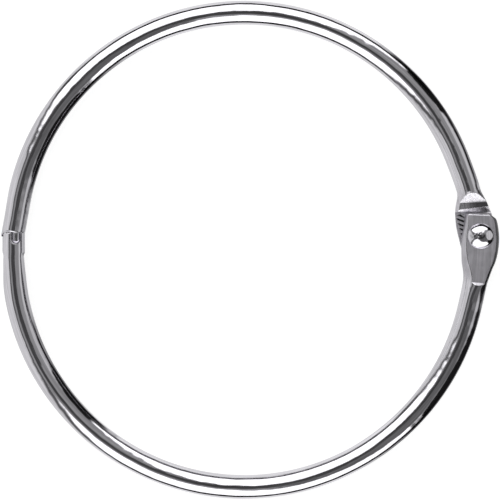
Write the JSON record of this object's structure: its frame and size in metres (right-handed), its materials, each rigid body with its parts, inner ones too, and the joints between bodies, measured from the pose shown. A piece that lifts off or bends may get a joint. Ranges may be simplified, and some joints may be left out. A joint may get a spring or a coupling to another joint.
{
  "type": "hinged binder ring",
  "caption": "Hinged loose-leaf binder ring of plated round steel wire: two half rings lapped and riveted at one side, with a blade-in-slot snap closure at the other.",
  "frame": {"origin": "centre of the closed ring, midway between the two halves' bend centres, in the wire's middle plane", "axes": "+Z square to the flat ring towards the lower half's pressed face, +X from the closure towards the hinge, +Y towards the upper half"},
  "size_m": [0.0838, 0.0836, 0.006],
  "materials": {
    "wire_plating": "bright nickel plating over round steel wire, lightly scuffed where the laps were pressed",
    "rivet_plating": "bright nickel plating over a peened steel rivet"
  },
  "bodies": {
    "upper": {"upper_half": "wire_plating", "hinge_rivet": "rivet_plating"},
    "lower": {"lower_half": "wire_plating"}
  },
  "joints": [
    {"name": "hinge", "type": "hinge", "parent": "upper", "child": "lower", "pos_m": [0.0396, 0.0021, 0], "axis": [0, 0, 1], "range_deg": [0, 125]}
  ]
}
